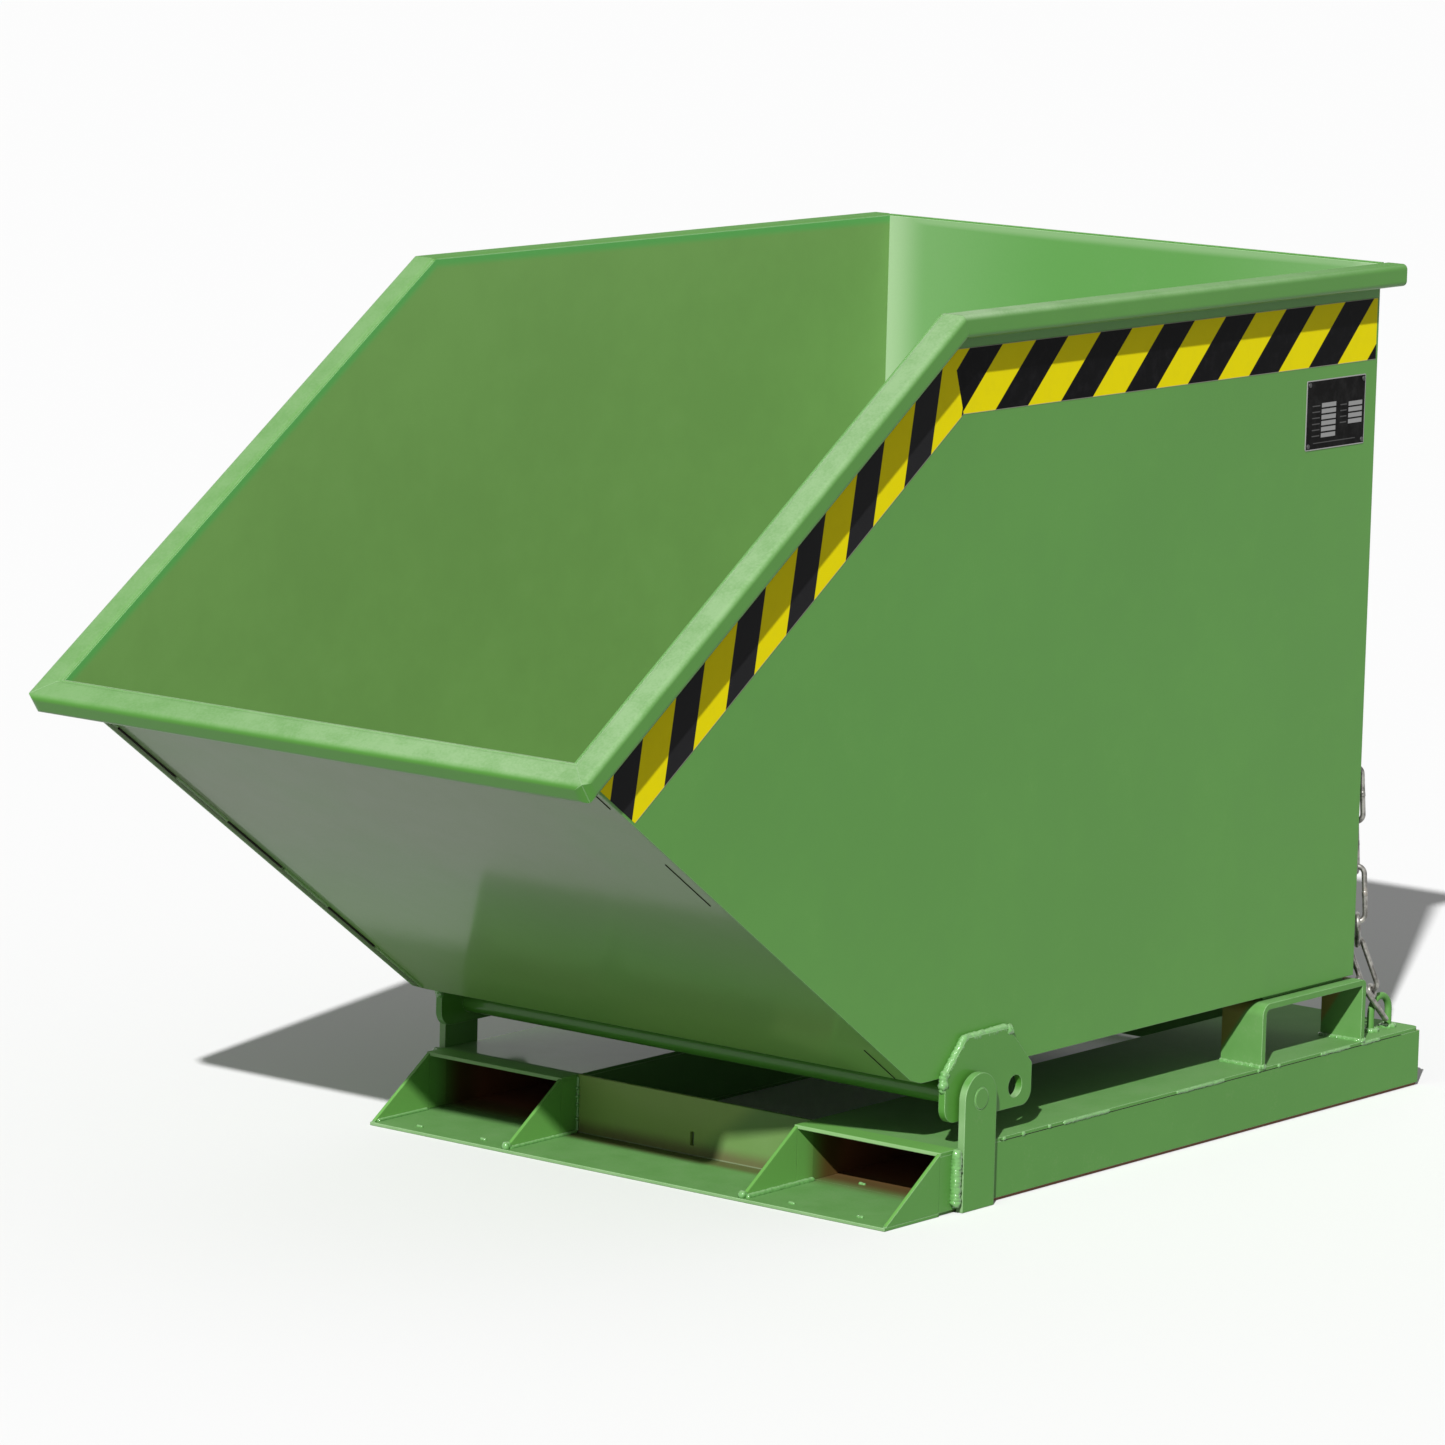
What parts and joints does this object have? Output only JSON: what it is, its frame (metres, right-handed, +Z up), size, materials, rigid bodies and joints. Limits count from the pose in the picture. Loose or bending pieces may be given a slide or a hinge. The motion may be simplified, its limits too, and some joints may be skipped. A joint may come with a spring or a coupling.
{
  "type": "tipping skip",
  "caption": "Forklift tipping skip: an open steel tub with a sloping chute, hinged on a base with fork pockets and held by a toggle chain.",
  "frame": {"origin": "on the floor under the middle of the skip's overall box", "axes": "+X across the skip to the chain's side, -Y the way the chute points and tips, +Z up"},
  "size_m": [1.09, 2.2275, 1.384],
  "materials": {
    "green_base": "satin green enamel over welded steel plate",
    "green_tub": "satin green enamel over welded steel sheet",
    "shaft_steel": "green paint over a turned steel bar",
    "hazard_tape": "yellow adhesive tape with black slanting bars",
    "plate_black": "black printed plate with a bare metal frame line",
    "rivet_aluminium": "bare blind rivets",
    "chain_zinc": "zinc-plated chain"
  },
  "bodies": {
    "base": {"tongue_plate": "green_base", "pocket_floor_left": "green_base", "pocket_floor_right": "green_base", "pocket_outer_wall_left": "green_base", "pocket_outer_wall_right": "green_base", "pocket_inner_wall_left": "green_base", "pocket_inner_wall_right": "green_base", "pocket_top_left": "green_base", "pocket_top_right": "green_base", "outer_gusset_left": "green_base", "outer_gusset_right": "green_base", "inner_gusset_left": "green_base", "inner_gusset_right": "green_base", "front_web": "green_base", "rear_web": "green_base", "hinge_post_left": "green_base", "hinge_post_right": "green_base", "rear_saddle_left": "green_base", "rear_saddle_right": "green_base", "ring_eye": "green_base"},
    "tub": {"side_panel_left": "green_tub", "side_panel_right": "green_tub", "chute_panel": "green_tub", "floor_panel": "green_tub", "rear_panel": "green_tub", "rim_slope_rail_left": "green_tub", "rim_slope_rail_right": "green_tub", "rim_level_rail_left": "green_tub", "rim_level_rail_right": "green_tub", "rim_front_rail": "green_tub", "rim_rear_bar": "green_tub", "hinge_bracket_left": "green_tub", "hinge_bracket_right": "green_tub", "hinge_shaft": "shaft_steel", "hinge_spacer_left": "green_tub", "hinge_spacer_right": "green_tub", "rest_strip_left": "green_tub", "rest_strip_right": "green_tub", "hazard_tape_level_left": "hazard_tape", "hazard_tape_level_right": "hazard_tape", "hazard_tape_slope_left": "hazard_tape", "hazard_tape_slope_right": "hazard_tape", "type_plate": "plate_black", "type_plate_rivets": "rivet_aluminium", "chain_bow": "chain_zinc"},
    "chain_upper": {"chain_link_1": "chain_zinc", "chain_link_2": "chain_zinc"},
    "chain_lower": {"chain_link_3": "chain_zinc", "chain_link_4": "chain_zinc", "chain_link_5": "chain_zinc", "chain_link_6": "chain_zinc", "chain_link_7": "chain_zinc", "chain_link_8": "chain_zinc", "chain_toggle": "chain_zinc"}
  },
  "joints": [
    {"name": "tub_tip", "type": "hinge", "parent": "base", "child": "tub", "pos_m": [0, -0.1245, 0.173], "axis": [1, 0, 0], "range_deg": [0, 57]},
    {"name": "chain_swing", "type": "hinge", "parent": "tub", "child": "chain_upper", "pos_m": [0.456, 0.9525, 0.791], "axis": [1, 0, 0], "range_deg": [0, 90]},
    {"name": "chain_fold", "type": "hinge", "parent": "chain_upper", "child": "chain_lower", "pos_m": [0.46868, 0.9525, 0.62556], "axis": [1, 0, 0], "range_deg": [0, 75]}
  ]
}
